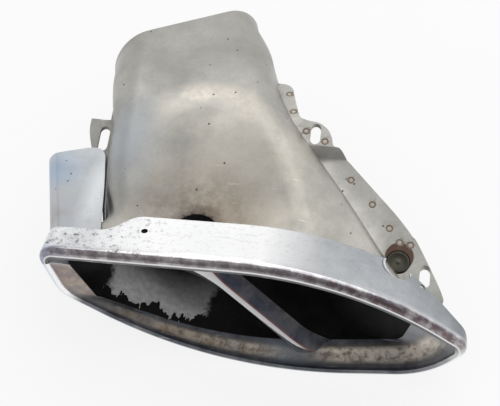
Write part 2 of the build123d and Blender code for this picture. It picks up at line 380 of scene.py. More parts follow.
def throat_plug():
    """Closed volume of the throat, just outside its visible wall."""
    middle = lens_outline(THROAT_INSET - WALL_BITE)
    lip = [Vector((p.x, 0.0, p.y)) for p in lens_outline(NOSE + LIP_INSET)]
    throat = [Vector((p.x, THROAT_DEPTH + THROAT_SLANT * p.x, p.y)) for p in middle]
    back = [Vector((p.x, WINDOW_DEPTH + WINDOW_SLANT * p.x, p.y)) for p in window_outline(-WALL_BITE)]
    rings = []
    for k in range(THROAT_STEPS + 1):
        rings.append([bow(k / THROAT_STEPS, p, q, r) for p, q, r in zip(lip, throat, back)])
    rings.append([p + Vector((0, BACK_REACH, 0)) for p in rings[-1]])
    count = len(lip)
    verts = [laid(p) for ring in rings for p in ring]
    faces = [tuple(range(count)), tuple(reversed(range(len(verts) - count, len(verts))))]
    for r in range(len(rings) - 1):
        for i in range(count):
            j = (i + 1) % count
            faces.append((r * count + i, (r + 1) * count + i, (r + 1) * count + j, r * count + j))
    obj = mesh_object("throat_plug", verts, faces)
    face_outward(obj)
    return obj


cut(divider, throat_plug(), "INTERSECT")
smooth(divider, 50)
smooth(bezel, 40)


# The other sheet pieces start from their CAD shape, merged so that curved sheet shades smoothly
MERGE_DISTANCE = 0.00001


def from_cad(node, name, degrees=28):
    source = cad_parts[node]
    obj = bpy.data.objects.new(name, source.data.copy())
    bpy.context.collection.objects.link(obj)
    only(obj)
    bpy.ops.object.mode_set(mode="EDIT")
    bpy.ops.mesh.select_all(action="SELECT")
    bpy.ops.mesh.remove_doubles(threshold=MERGE_DISTANCE)
    bpy.ops.object.mode_set(mode="OBJECT")
    smooth(obj, degrees)
    weighted = obj.modifiers.new("flat faces stay flat", "WEIGHTED_NORMAL")
    weighted.keep_sharp = True
    weighted.weight = 100
    apply_all(obj)
    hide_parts(node)
    return obj


upper_shell = from_cad("upper_shell", "UpperShell")
lower_shell = from_cad("lower_shell", "LowerShell")
bracket = from_cad("corner_bracket", "CornerBracket")
wing = from_cad("side_wing", "SideWing")
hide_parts("bezel")

# Wing edge drawn in against the shell wall
WING_DRAW = 2.2
wing_still = laid((-140.0, 0.0, 0.0)).x
wing_edge = laid((-120.0, 0.0, 0.0)).x
for vertex in wing.data.vertices:
    vertex.co.x += WING_DRAW * MM * ramp(vertex.co.x, wing_still, wing_edge)
wing.data.update()

# Left tab squared off behind its slot by a box, sized in metres
TAB_BOX = (0.021, 0.0125, 0.03)
TAB_DEPTH = 131.5
tab_back = laid((-137.6, TAB_DEPTH, seam_height(TAB_DEPTH, SEAM_STEP)))
for shell in (upper_shell, lower_shell):
    select_none()
    bpy.ops.mesh.primitive_cube_add(size=1.0)
    box = bpy.context.object
    box.data.transform(Matrix.Diagonal((*TAB_BOX, 1.0)))
    box.data.transform(Matrix.Rotation(SLOPE - LIE, 4, "X"))
    box.data.transform(Matrix.Translation(tab_back))
    cut(shell, box)

# Rolled bead round the cut-out in the skirt, open at the back where the cut-out meets the rear edge
BEAD_RADIUS = 10.2
BEAD_ROLL = 1.0
BEAD_STRETCH = 1.12
BEAD_LEAN = math.radians(33)
BEAD_OPEN = 3.5
TOP_SIDE = 50.0


def cutout_bead():
    select_none()
    bpy.ops.mesh.primitive_torus_add(
        major_segments=64, minor_segments=12, major_radius=BEAD_RADIUS * MM, minor_radius=BEAD_ROLL * MM
    )
    obj = bpy.context.object
    obj.name = "CutoutBead"
    kept = bmesh.new()
    kept.from_mesh(obj.data)
    kept.transform(Matrix.Diagonal((BEAD_STRETCH, 1.0, 1.0, 1.0)))
    bmesh.ops.delete(kept, geom=[v for v in kept.verts if v.co.y > BEAD_OPEN * MM], context="VERTS")
    kept.transform(Matrix.Rotation(BEAD_LEAN, 4, "Y"))
    kept.transform(Matrix.Rotation(-LIE, 4, "X"))
    kept.to_mesh(obj.data)
    kept.free()
    top = [q for q in lens_outline(0.0) if q.y >= TOP_SIDE]
    nearest = min(top, key=lambda q: abs(q.x - CUTOUT_AT[0]))
    obj.data.transform(Matrix.Translation(laid((*CUTOUT_AT, nearest.y))))
    smooth(obj, 60)
    return obj


bead = cutout_bead()


# Node helpers
def set_stops(node, stops):
    """Colour or grey stops of a ramp, from (place, tone) pairs."""
    elements = node.color_ramp.elements
    while len(elements) < len(stops):
        elements.new(0.5)
    for element, (place, tone) in zip(elements, stops):
        element.position = place
        element.color = (*tone, 1.0) if isinstance(tone, tuple) else (tone, tone, tone, 1.0)


class Sheet:
    """A material under construction: its nodes, links and main shader."""

    def __init__(self, name):
        self.material = bpy.data.materials.new(name)
        self.material.use_nodes = True
        self.nodes = self.material.node_tree.nodes
        self.links = self.material.node_tree.links
        self.shader = self.nodes["Principled BSDF"]
        self.coords = self.nodes.new("ShaderNodeTexCoord")
        self.place = self.coords.outputs["Object"]

    def link(self, source, target):
        if isinstance(source, (int, float)):
            target.default_value = source
        elif isinstance(source, tuple):
            target.default_value = (*source, 1.0) if len(source) == 3 else source
        else:
            self.links.new(source, target)

    def math(self, operation, first, second=0.0, clamp=True):
        node = self.nodes.new("ShaderNodeMath")
        node.operation = operation
        node.use_clamp = clamp
        self.link(first, node.inputs[0])
        self.link(second, node.inputs[1])
        return node.outputs[0]

    def noise(self, scale, detail=5.0, rough=0.55, stretch=None):
        node = self.nodes.new("ShaderNodeTexNoise")
        node.inputs["Scale"].default_value = scale
        node.inputs["Detail"].default_value = detail
        node.inputs["Roughness"].default_value = rough
        source = self.place
        if stretch:
            mapping = self.nodes.new("ShaderNodeMapping")
            mapping.inputs["Rotation"].default_value = stretch[0]
            mapping.inputs["Scale"].default_value = stretch[1]
            self.links.new(source, mapping.inputs["Vector"])
            source = mapping.outputs[0]
        self.links.new(source, node.inputs["Vector"])
        return node.outputs["Fac"]

    def ramp(self, value, *stops):
        node = self.nodes.new("ShaderNodeValToRGB")
        set_stops(node, stops)
        self.link(value, node.inputs["Fac"])
        return node.outputs["Color"]

    def mix(self, share, first, second):
        node = self.nodes.new("ShaderNodeMix")
        node.data_type = "RGBA"
        self.link(share, node.inputs[0])
        self.link(first, node.inputs[6])
        self.link(second, node.inputs[7])
        return node.outputs[2]

    def distance(self, point, stretch=(1, 1, 1)):
        """Distance from a point of the row frame, in millimetres."""
        node = self.nodes.new("ShaderNodeMapping")
        node.inputs["Location"].default_value = [-p * 1000 * s for p, s in zip(point, stretch)]
        node.inputs["Scale"].default_value = [1000 * s for s in stretch]
        self.links.new(self.place, node.inputs["Vector"])
        length = self.nodes.new("ShaderNodeVectorMath")
        length.operation = "LENGTH"
        self.links.new(node.outputs[0], length.inputs[0])
        return length.outputs["Value"]

    def fade(self, value, low, high):
        """1 up to a low value, falling to 0 at a high one."""
        share = self.nodes.new("ShaderNodeMapRange")
        share.inputs["From Min"].default_value = low
        share.inputs["From Max"].default_value = high
        share.inputs["To Min"].default_value = 1.0
        share.inputs["To Max"].default_value = 0.0
        self.links.new(value, share.inputs["Value"])
        return share.outputs[0]

    def near(self, point, inner, outer, stretch=(1, 1, 1)):
        """1 inside a radius round a point, fading to 0 at an outer one."""
        return self.fade(self.distance(point, stretch), inner, outer)

    def apart(self, vector):
        """The first two numbers of a vector."""
        split = self.nodes.new("ShaderNodeSeparateXYZ")
        self.links.new(vector, split.inputs[0])
        return split.outputs["X"], split.outputs["Y"]

    def trim_map(self):
        """Place along and across the trim, from its own UV map."""
        uv = self.nodes.new("ShaderNodeUVMap")
        uv.uv_map = "Trim"
        return self.apart(uv.outputs[0])

    def group(self, tree, **values):
        node = self.nodes.new("ShaderNodeGroup")
        node.node_tree = tree
        self.links.new(self.place, node.inputs["Place"])
        for name, value in values.items():
            self.link(value, node.inputs[name])
        return node.outputs["Mask"]

    def bump(self, height, strength, depth):
        node = self.nodes.new("ShaderNodeBump")
        node.inputs["Strength"].default_value = strength
        node.inputs["Distance"].default_value = depth
        self.link(height, node.inputs["Height"])
        self.links.new(node.outputs[0], self.shader.inputs["Normal"])

    def finish(self, color, roughness, metallic=1.0):
        self.link(color, self.shader.inputs["Base Color"])
        self.link(roughness, self.shader.inputs["Roughness"])
        self.link(metallic, self.shader.inputs["Metallic"])
        return self.material


def effect(name, inputs):
    """Empty shader node group with a place input, number inputs and a mask output."""
    tree = bpy.data.node_groups.new(name, "ShaderNodeTree")
    tree.interface.new_socket("Place", in_out="INPUT", socket_type="NodeSocketVector")
    for label, value in inputs:
        socket = tree.interface.new_socket(label, in_out="INPUT", socket_type="NodeSocketFloat")
        socket.default_value = value
    tree.interface.new_socket("Mask", in_out="OUTPUT", socket_type="NodeSocketFloat")
    return tree, tree.nodes.new("NodeGroupInput"), tree.nodes.new("NodeGroupOutput")


def pit_effect():
    """Scattered small pits: one round spot in some cells of a random grid."""
    tree, start, end = effect("pits", [("Scale", 200.0), ("Size", 0.2), ("Share", 0.3)])
    cells = tree.nodes.new("ShaderNodeTexVoronoi")
    tree.links.new(start.outputs["Place"], cells.inputs["Vector"])
    tree.links.new(start.outputs["Scale"], cells.inputs["Scale"])
    spot = tree.nodes.new("ShaderNodeMath")
    spot.operation = "LESS_THAN"
    tree.links.new(cells.outputs["Distance"], spot.inputs[0])
    tree.links.new(start.outputs["Size"], spot.inputs[1])
    pick = tree.nodes.new("ShaderNodeMath")
    pick.operation = "LESS_THAN"
    split = tree.nodes.new("ShaderNodeSeparateColor")
    tree.links.new(cells.outputs["Color"], split.inputs[0])
    tree.links.new(split.outputs[0], pick.inputs[0])
    tree.links.new(start.outputs["Share"], pick.inputs[1])
    both = tree.nodes.new("ShaderNodeMath")
    both.operation = "MULTIPLY"
    tree.links.new(spot.outputs[0], both.inputs[0])
    tree.links.new(pick.outputs[0], both.inputs[1])
    tree.links.new(both.outputs[0], end.inputs["Mask"])
    return tree


SCRATCH_STRETCH = (1.0, 14.0, 6.0)


def scratch_effect():
    """Fine straight scratches along a turned axis, broken into lengths."""
    tree, start, end = effect("scratches", [("Turn", 0.0), ("Scale", 60.0), ("Share", 0.64)])
    turn = tree.nodes.new("ShaderNodeCombineXYZ")
    tree.links.new(start.outputs["Turn"], turn.inputs["Z"])
    mapping = tree.nodes.new("ShaderNodeMapping")
    mapping.inputs["Scale"].default_value = SCRATCH_STRETCH
    tree.links.new(start.outputs["Place"], mapping.inputs["Vector"])
    tree.links.new(turn.outputs[0], mapping.inputs["Rotation"])
    noise = tree.nodes.new("ShaderNodeTexNoise")
    noise.inputs["Detail"].default_value = 2.0
    tree.links.new(mapping.outputs[0], noise.inputs["Vector"])
    tree.links.new(start.outputs["Scale"], noise.inputs["Scale"])
    line = tree.nodes.new("ShaderNodeMath")
    line.operation = "GREATER_THAN"
    tree.links.new(noise.outputs["Fac"], line.inputs[0])
    tree.links.new(start.outputs["Share"], line.inputs[1])
    tree.links.new(line.outputs[0], end.inputs["Mask"])
    return tree


PITS = pit_effect()
SCRATCHES = scratch_effect()

# Places of stains, worn spots and painted light and shade
ROOF_HOLE = laid((-44.5, 33.0, 88.0))
HOLE_SIDE = laid((-24.0, 48.0, 97.0))
BLUE_HIGHLIGHT = laid((-104.0, 92.0, 120.0))
WARM_LIT_SLOPE = laid((-20.0, 60.0, 104.0))
NECK_ROOF = laid((-72.0, 190.0, 147.0))
SHADED_LEFT_WALL = laid((-122.0, 60.0, 80.0))
HIGHLIGHT_ARCH = laid((-50.0, 95.0, 125.0))
HIGHLIGHT_ARCH_TOP = laid((-47.0, 128.0, 139.0))
SCALD = laid((94.0, 57.5, 67.0))
SCRATCH_SHEEN = laid((0.0, 70.0, 108.0))
WING_TIP = laid((-158.0, 78.0, 97.0))
WING_FOLD_HIGHLIGHT = laid((-121.0, 60.0, 96.0))
WING_LAP = laid((-138.0, 32.0, 92.0))


def satin_finish(name, pale, dark, rough):
    """Satin stainless sheet with cloudy stains, pits and fine scratches, and painted light and shade: a lit
    warm slope, a highlight arch, a shaded left wall.
    """
    sheet = Sheet(name)
    clouds = sheet.noise(22.0, 8.0, 0.62)
    color = sheet.ramp(clouds, (0.34, dark), (0.64, pale))
    fine = sheet.noise(420.0, 3.0, 0.6)
    color = sheet.mix(sheet.ramp(fine, (0.45, 0.0), (0.75, 0.25)), color, tuple(c * 0.7 for c in dark))
    # painted light: a lighter, warmer tone on the slope, its lightness standing in for the light falling
    # there
    warm_lit = sheet.ramp(clouds, (0.4, 0.25), (0.6, 0.6))
    warm_lit = sheet.math("MULTIPLY", sheet.near(WARM_LIT_SLOPE, 20.0, 95.0), warm_lit)
    color = sheet.mix(warm_lit, color, (0.64, 0.585, 0.49))
    # darker roof of the neck, and painted shadow on the left wall beside the wing
    neck = sheet.math("MULTIPLY", sheet.near(NECK_ROOF, 30.0, 85.0), 0.45)
    color = sheet.mix(neck, color, (0.27, 0.265, 0.25))
    wall_shadow = sheet.math("MULTIPLY", sheet.near(SHADED_LEFT_WALL, 4.0, 26.0, (1.0, 0.3, 0.3)), 0.75)
    color = sheet.mix(wall_shadow, color, (0.13, 0.125, 0.115))
    # painted highlight: a bright arch over the shoulder, and a blue highlight patch on its left
    arch_highlight = sheet.math("MULTIPLY", sheet.distance(HIGHLIGHT_ARCH, (1.0, 1.1, 0.0)), 0.01)
    arch_highlight = sheet.ramp(arch_highlight, (0.27, 0.0), (0.39, 1.0), (0.44, 1.0), (0.58, 0.0))
    arch_highlight = sheet.math("MULTIPLY", arch_highlight, sheet.near(HIGHLIGHT_ARCH_TOP, 22.0, 52.0))
    arch_highlight = sheet.math("MULTIPLY", arch_highlight, sheet.ramp(sheet.noise(70.0, 6.0, 0.7), (0.35, 0.2), (0.62, 0.75)))
    color = sheet.mix(arch_highlight, color, (0.80, 0.74, 0.65))
    blue = sheet.math("MULTIPLY", sheet.near(BLUE_HIGHLIGHT, 5.0, 30.0, (1.0, 0.6, 1.0)), 0.5)
    color = sheet.mix(blue, color, (0.45, 0.50, 0.56))
    # burnt ring round the hole in the roof, brown plate round the plug weld
    ring_noise = sheet.ramp(sheet.noise(90.0, 6.0, 0.7), (0.3, 0.15), (0.62, 1.0))
    burnt = sheet.math("MULTIPLY", sheet.near(ROOF_HOLE, 20.0, 62.0), ring_noise)
    color = sheet.mix(sheet.math("MULTIPLY", burnt, 0.8), color, (0.17, 0.12, 0.085))
    side = sheet.math("MULTIPLY", sheet.near(HOLE_SIDE, 6.0, 32.0), 0.4)
    color = sheet.mix(side, color, (0.22, 0.175, 0.13))
    soot = sheet.math("MULTIPLY", sheet.near(ROOF_HOLE, 15.0, 24.0), 0.8)
    color = sheet.mix(soot, color, (0.06, 0.042, 0.035))
    scald = sheet.math("MULTIPLY", sheet.near(SCALD, 9.6, 10.4), 0.92)
    color = sheet.mix(scald, color, (0.085, 0.045, 0.03))
    pits = sheet.group(PITS, Scale=130.0, Size=0.1, Share=0.3)
    color = sheet.mix(sheet.math("MULTIPLY", pits, 0.85), color, (0.035, 0.03, 0.027))
    # fine scratches, bright only round the slope's highlight streaks, so partly real scratches and partly
    # painted highlight
    lines = sheet.group(SCRATCHES, Turn=0.7, Scale=40.0, Share=0.72)
    lines = sheet.math("MULTIPLY", lines, sheet.near(SCRATCH_SHEEN, 10.0, 60.0))
    color = sheet.mix(sheet.math("MULTIPLY", lines, 0.6), color, (0.85, 0.82, 0.76))
    finish = sheet.ramp(sheet.noise(35.0, 6.0, 0.6), (0.35, rough - 0.06), (0.65, rough + 0.1))
    sheet.bump(sheet.noise(130.0, 4.0, 0.6), 0.12, 0.0006)
    return sheet.finish(color, finish)


# Where the paint has peeled inside the left window, in row frame metres
PATCH_FRONT = -0.130
PATCH_RAG = 0.048
# fade of the patch toward the back: painted shade deeper inside
PATCH_SHADE_FADE = (-0.102, -0.064)
PATCH_MIDDLE = -0.0605
PATCH_SIDES = (0.042, 0.047)
PATCH_WANDER = 0.022
SOOT = (0.006, 0.006, 0.007)
DUSTY_SOOT = (0.022, 0.021, 0.021)
DULL_METAL = (0.62, 0.62, 0.61)
BARE_METAL = (0.92, 0.92, 0.90)


def black_inside():
    """Black paint inside the shell, peeled off to bare metal in one ragged patch that fades into painted
    shade toward the back.
    """
    sheet = Sheet("black_paint")
    soot = sheet.ramp(sheet.noise(60.0, 7.0, 0.65), (0.35, SOOT), (0.7, DUSTY_SOOT))
    x, y = sheet.apart(sheet.place)
    # ragged front edge, back edge faded out as painted shade deeper inside, wandering sides
    ragged = sheet.noise(85.0, 3.0, 0.75, ((0, 0, 0), (1.0, 0.35, 0.0)))
    shifted = sheet.math("SUBTRACT", y, sheet.math("MULTIPLY", ragged, PATCH_RAG), clamp=False)
    front = sheet.math("GREATER_THAN", shifted, PATCH_FRONT, clamp=False)
    away = sheet.math("SUBTRACT", x, PATCH_MIDDLE, clamp=False)
    reach = sheet.math("ABSOLUTE", away, clamp=False)
    wander = sheet.math("MULTIPLY", sheet.noise(70.0, 4.0, 0.7), PATCH_WANDER)
    sides = sheet.fade(sheet.math("ADD", reach, wander), *PATCH_SIDES)
    bare = sheet.math("MULTIPLY", front, sheet.fade(y, *PATCH_SHADE_FADE))
    bare = sheet.math("MULTIPLY", bare, sides)
    metal = sheet.ramp(sheet.noise(240.0, 6.0, 0.7), (0.35, DULL_METAL), (0.65, BARE_METAL))
    color = sheet.mix(bare, soot, metal)
    sheet.shader.inputs["Specular IOR Level"].default_value = 0.25
    return sheet.finish(color, sheet.ramp(sheet.noise(50.0), (0.3, 0.45), (0.7, 0.7)), 0.0)


def chrome_finish():
    """Polished chrome with heat-tint bands round the lip, painted shade and reflections in the throat, and
    corroded specks.
    """
    sheet = Sheet("chrome_trim")
    along, across = sheet.trim_map()
    clouds = sheet.noise(45.0, 7.0, 0.65)
    streaks = sheet.noise(120.0, 6.0, 0.7)
    color = sheet.ramp(sheet.noise(12.0, 4.0), (0.35, (0.90, 0.905, 0.91)), (0.65, (0.95, 0.95, 0.955)))

    def band(tone, strength, across_stops, along_stops, texture):
        """Tint laid over part of the way across and along the trim, broken up by a texture."""
        nonlocal color
        share = sheet.math("MULTIPLY", sheet.ramp(across, *across_stops), sheet.ramp(along, *along_stops))
        share = sheet.math("MULTIPLY", share, texture)
        color = sheet.mix(sheet.math("MULTIPLY", share, strength), color, tone)

    rough_cloud = sheet.ramp(clouds, (0.33, 0.25), (0.6, 1.0))
    speckle = sheet.ramp(streaks, (0.42, 0.0), (0.6, 1.0))
    full = sheet.ramp(clouds, (0.3, 0.85), (0.6, 1.0))
    mottle = sheet.ramp(sheet.noise(170.0, 7.0, 0.75), (0.40, 0.1), (0.56, 1.0))
    patchy = sheet.ramp(streaks, (0.3, 0.55), (0.55, 1.0))
    # grey-blue right end and left end of the skirt
    right_skirt = ((0.205, 0.0), (0.25, 0.7), (0.33, 0.8), (0.42, 1.0), (0.52, 0.9), (0.56, 0.3))
    band((0.05, 0.075, 0.10), 0.93, ((0.0, 1.0), (0.30, 0.9), (0.38, 0.4), (0.42, 0.0)), right_skirt, full)
    skirt_back = ((0.0, 1.0), (0.30, 0.9), (0.38, 0.3), (0.42, 0.0))
    left_skirt_end = ((0.0, 0.8), (0.05, 0.6), (0.11, 0.0), (0.88, 0.0), (0.92, 1.0), (1.0, 0.9))
    band((0.16, 0.195, 0.23), 0.85, skirt_back, left_skirt_end, rough_cloud)
    # brown and purple tint along the top of the lip
    top_only = ((0.0, 0.7), (0.03, 0.9), (0.2, 0.85), (0.28, 1.0), (0.41, 1.0), (0.45, 0.0))
    band((0.085, 0.045, 0.05), 0.92, ((0.36, 0.0), (0.43, 1.0), (0.60, 1.0), (0.615, 0.0)), top_only, patchy)
    band((0.09, 0.075, 0.15), 0.55, ((0.30, 0.0), (0.40, 0.8), (0.46, 0.3), (0.5, 0.0)), top_only, speckle)
    # blue tint at the left end
    left_end = ((0.0, 1.0), (0.035, 0.6), (0.06, 0.0), (0.86, 0.0), (0.9, 0.9), (1.0, 1.0))
    band((0.20, 0.30, 0.52), 0.6, ((0.18, 0.0), (0.36, 1.0), (0.6, 0.8), (0.66, 0.0)), left_end, rough_cloud)
    # painted shade under the upper lip
    upper = ((0.0, 1.0), (0.40, 1.0), (0.44, 0.3), (0.47, 0.0))
    band((0.02, 0.02, 0.025), 0.95, ((0.632, 0.0), (0.652, 0.9), (1.0, 1.0)), upper, full)
    # painted reflections in the lower throat: dark at the rim and at the window, with gold and bright
    # highlights between
    lower = ((0.44, 0.3), (0.5, 0.7), (0.56, 1.0), (0.86, 1.0), (0.88, 0.4), (0.9, 0.0))
    band((0.022, 0.028, 0.042), 0.97, ((0.595, 0.0), (0.63, 0.9), (0.68, 1.0), (1.0, 1.0)), lower, full)
    gold = ((0.46, 0.35), (0.52, 1.0), (0.63, 1.0), (0.665, 0.3))
    gold = gold + ((0.69, 0.9), (0.78, 0.8), (0.83, 0.25), (0.88, 0.0))
    bright_highlight = ((0.46, 0.0), (0.51, 1.0), (0.62, 1.0), (0.655, 0.1), (0.69, 0.6), (0.76, 0.4), (0.82, 0.1))
    gold_width = ((0.70, 0.0), (0.79, 1.0), (0.88, 0.9), (0.95, 0.1), (0.98, 0.0))
    band((0.30, 0.21, 0.13), 0.9, gold_width, gold, rough_cloud)
    band((0.95, 0.87, 0.75), 0.95, ((0.72, 0.0), (0.78, 1.0), (0.88, 1.0), (0.93, 0.0)), bright_highlight, mottle)
    # grey-blue in the right corner of the throat and at the foot of the divider
    foot = ((0.41, 0.6), (0.455, 1.0), (0.5, 0.6), (0.55, 0.0))
    foot = foot + ((0.62, 0.0), (0.655, 0.9), (0.675, 0.9), (0.70, 0.0))
    band((0.30, 0.36, 0.43), 0.6, ((0.67, 0.0), (0.75, 0.9), (0.95, 0.7), (1.0, 0.2)), foot, rough_cloud)
    # brown and gold left end wall
    left_wall = ((0.87, 0.0), (0.9, 1.0), (0.99, 1.0), (1.0, 0.6))
    band((0.16, 0.105, 0.09), 0.85, ((0.67, 0.0), (0.71, 1.0), (1.0, 1.0)), left_wall, full)
    band((0.62, 0.50, 0.38), 0.7, ((0.72, 0.0), (0.84, 0.9), (0.97, 0.7)), left_wall, speckle)
    throat_dull = sheet.ramp(across, (0.655, 0.0), (0.70, 0.3))
    # corrosion specks on the left of the skirt
    left_skirt = sheet.ramp(along, (0.0, 1.0), (0.07, 1.0), (0.14, 0.25), (0.3, 0.12), (0.4, 0.0))
    specks = sheet.ramp(sheet.noise(260.0, 8.0, 0.75), (0.53, 0.0), (0.63, 1.0))
    specks = sheet.math("MULTIPLY", specks, left_skirt)
    outside = sheet.ramp(across, (0.02, 0.9), (0.45, 0.9), (0.55, 0.0))
    color = sheet.mix(sheet.math("MULTIPLY", specks, outside), color, (0.10, 0.075, 0.06))
    lines = sheet.group(SCRATCHES, Turn=-0.5, Scale=34.0, Share=0.69)
    color = sheet.mix(sheet.math("MULTIPLY", lines, 0.3), color, (0.5, 0.5, 0.52))
    worn = sheet.math("ADD", sheet.math("MULTIPLY", specks, 0.5), throat_dull)
    finish = sheet.math("ADD", sheet.ramp(clouds, (0.3, 0.06), (0.7, 0.15)), worn)
    sheet.bump(sheet.noise(30.0, 2.0), 0.05, 0.001)
    sheet.shader.inputs["Specular IOR Level"].default_value = 0.12
    return sheet.finish(color, finish, sheet.ramp(across, (0.655, 1.0), (0.70, 0.3)))


def divider_finish():
    """Chrome of the divider, its tones painted reflection and shade: pale left face, tinted ridge, dark
    right face, dark side wall in shade.
    """
    sheet = Sheet("chrome_divider")
    _, across = sheet.trim_map()
    clouds = sheet.ramp(sheet.noise(60.0, 6.0, 0.65), (0.35, 0.8), (0.65, 1.0))
    # painted reflection and shade across the bar: dark right face, tinted ridge line, pale left face, dark
    # left side wall in shade
    tones = ((0.0, (0.012, 0.014, 0.02)), (0.17, (0.025, 0.03, 0.042)), (0.31, (0.03, 0.034, 0.045)))
    tones = tones + ((0.33, (0.10, 0.035, 0.035)), (0.365, (0.11, 0.05, 0.05)), (0.395, (0.45, 0.45, 0.46)))
    tones = tones + ((0.60, (0.58, 0.59, 0.60)), (0.94, (0.12, 0.13, 0.14)))
    color = sheet.mix(clouds, (0.25, 0.22, 0.2), sheet.ramp(across, *tones))
    return sheet.finish(color, sheet.ramp(sheet.noise(70.0), (0.3, 0.1), (0.7, 0.22)))


def wing_finish(name="satin_wing"):
    """Brushed pale sheet of the wing, darker toward its lap, with a painted highlight along its fold."""
    sheet = Sheet(name)
    grain = sheet.noise(60.0, 5.0, 0.6, ((0, 0, 0.1), (1.0, 12.0, 4.0)))
    clouds = sheet.noise(30.0, 7.0, 0.65)
    color = sheet.ramp(clouds, (0.32, (0.40, 0.43, 0.46)), (0.66, (0.56, 0.585, 0.60)))
    color = sheet.mix(sheet.ramp(grain, (0.4, 0.0), (0.7, 0.2)), color, (0.42, 0.44, 0.47))
    blue = sheet.math("MULTIPLY", sheet.near(WING_TIP, 4.0, 26.0), 0.55)
    color = sheet.mix(blue, color, (0.25, 0.36, 0.52))
    # painted highlight along the fold at the wing's right edge
    bright_highlight = sheet.math("MULTIPLY", sheet.near(WING_FOLD_HIGHLIGHT, 2.0, 13.0, (1.0, 0.25, 0.3)), 0.6)
    color = sheet.mix(bright_highlight, color, (0.82, 0.84, 0.85))
    # darker toward the lap
    lap_darkening = sheet.ramp(clouds, (0.42, 0.0), (0.6, 0.8))
    lap_darkening = sheet.math("MULTIPLY", sheet.near(WING_LAP, 8.0, 42.0), lap_darkening)
    color = sheet.mix(lap_darkening, color, (0.36, 0.34, 0.35))
    pits = sheet.group(PITS, Scale=150.0, Size=0.12, Share=0.12)
    color = sheet.mix(sheet.math("MULTIPLY", pits, 0.8), color, (0.12, 0.11, 0.11))
    sheet.bump(grain, 0.06, 0.0005)
    return sheet.finish(color, sheet.ramp(clouds, (0.3, 0.24), (0.7, 0.38)))


def weld_finish(name, core, rim):
    """Round weld: a core tone ringed with burnt metal, by the radius kept on the piece."""
    sheet = Sheet(name)
    radius = sheet.nodes.new("ShaderNodeAttribute")
    radius.attribute_name = "ring"
    wobble = sheet.math("ADD", radius.outputs["Fac"], sheet.math("MULTIPLY", sheet.noise(400.0, 3.0), 0.25))
    color = sheet.ramp(wobble, (0.45, core), (0.72, rim), (0.95, rim), (1.0, core))
    return sheet.finish(color, sheet.ramp(sheet.noise(300.0), (0.3, 0.35), (0.7, 0.6)))


satin = satin_finish("satin_shell", (0.50, 0.487, 0.45), (0.345, 0.34, 0.317), 0.43)
paint = black_inside()
chrome = chrome_finish()
divider_chrome = divider_finish()
wing_sheet = wing_finish()
bead_chrome = wing_finish("worn_bead")
weld_metal = weld_finish("weld_metal", (0.42, 0.405, 0.37), (0.21, 0.155, 0.115))
tinted = weld_finish("tinted_weld", (0.085, 0.085, 0.068), (0.06, 0.055, 0.045))


# An edge that bends more than this ends a smooth patch, and so does the edge of a single face
PATCH_BEND = math.radians(25)


def smooth_patch(obj, start, direction):
    """Faces that flow on from the one a ray meets, up to the next sharp edge."""
    _, _, _, first = obj.ray_cast(start, direction)
    body = bmesh.new()
    body.from_mesh(obj.data)
    body.faces.ensure_lookup_table()
    found = {first}
    todo = [body.faces[first]]
    while todo:
        face = todo.pop()
        for edge in face.edges:
            for other in edge.link_faces:
                if other.index not in found and edge.calc_face_angle(math.pi) < PATCH_BEND:
                    found.add(other.index)
                    todo.append(other)
    body.free()
    return found


def paint_inside(obj, start, direction):
    obj.data.materials.append(paint)
    for index in smooth_patch(obj, start, direction):
        obj.data.polygons[index].material_index = 1


# Spot welds: one nugget, copied along the flanges and the bracket
WELD_RADIUS = 3.1
WELD_SIDES = 28
WELD_SINK = 0.32
WELD_RINGS = ((0.35, 0.45), (0.4, 0.12), (0.5, -0.15), (0.6, -0.12), (0.4, 0.05))
LIFT = SHEET / math.cos(SLOPE)
NECK_UP = Vector((0, -math.sin(NECK_RISE), math.cos(NECK_RISE)))
SPOTS = [(x, y, seam_height(y, 0.0) + LIFT, SLOPE_UP) for x, y in ((55, 105), (72, 90), (85.5, 75.5))]
SPOTS += [(x, y, seam_height(y, SEAM_STEP) + LIFT, SLOPE_UP) for x, y in ((19, 130.5), (33.5, 124.5))]
SPOTS += [(x, y, seam_height(y, SEAM_STEP) + SHEET, NECK_UP) for x, y in ((2, 165), (7.5, 146))]
SPOTS += [(x, y, seam_height(y, 0.0) + 2 * LIFT, SLOPE_UP) for x, y in ((101, 65), (93.5, 66))]


def nugget(radius, steps):
    """Round dished weld: a disc inset ring by ring, each ring raised or sunk."""
    select_none()
    bpy.ops.mesh.primitive_circle_add(vertices=WELD_SIDES, radius=radius * MM, fill_type="NGON")
    obj = bpy.context.object
    bpy.ops.object.mode_set(mode="EDIT")
    bpy.ops.mesh.select_all(action="SELECT")
    for inset, rise in steps:
        bpy.ops.mesh.inset(thickness=inset * MM, depth=0)
        bpy.ops.transform.translate(value=(0, 0, rise * MM))
    bpy.ops.object.mode_set(mode="OBJECT")
    ring = obj.data.attributes.new("ring", "FLOAT", "POINT")
    for vertex in obj.data.vertices:
        ring.data[vertex.index].value = vertex.co.xy.length / (radius * MM)
    return obj


def set_down(obj, place, normal):
    turn = Vector((0, 0, 1)).rotation_difference(turned(normal)).to_matrix().to_4x4()
    obj.data.transform(Matrix.Translation(laid(place)) @ turn)


def spot_welds():
    first = nugget(WELD_RADIUS, WELD_RINGS)
    copies = []
    for x, y, z, normal in SPOTS:
        copy = first.copy()
        copy.data = first.data.copy()
        bpy.context.collection.objects.link(copy)
        set_down(copy, Vector((x, y, z)) - normal * WELD_SINK, normal)
        copies.append(copy)
    bpy.data.objects.remove(first)
    select_none()
    for copy in copies:
        copy.select_set(True)
    bpy.context.view_layer.objects.active = copies[0]
    bpy.ops.object.join()
    copies[0].name = "SpotWelds"
    smooth(copies[0], 45)
    return copies[0]


welds = spot_welds()

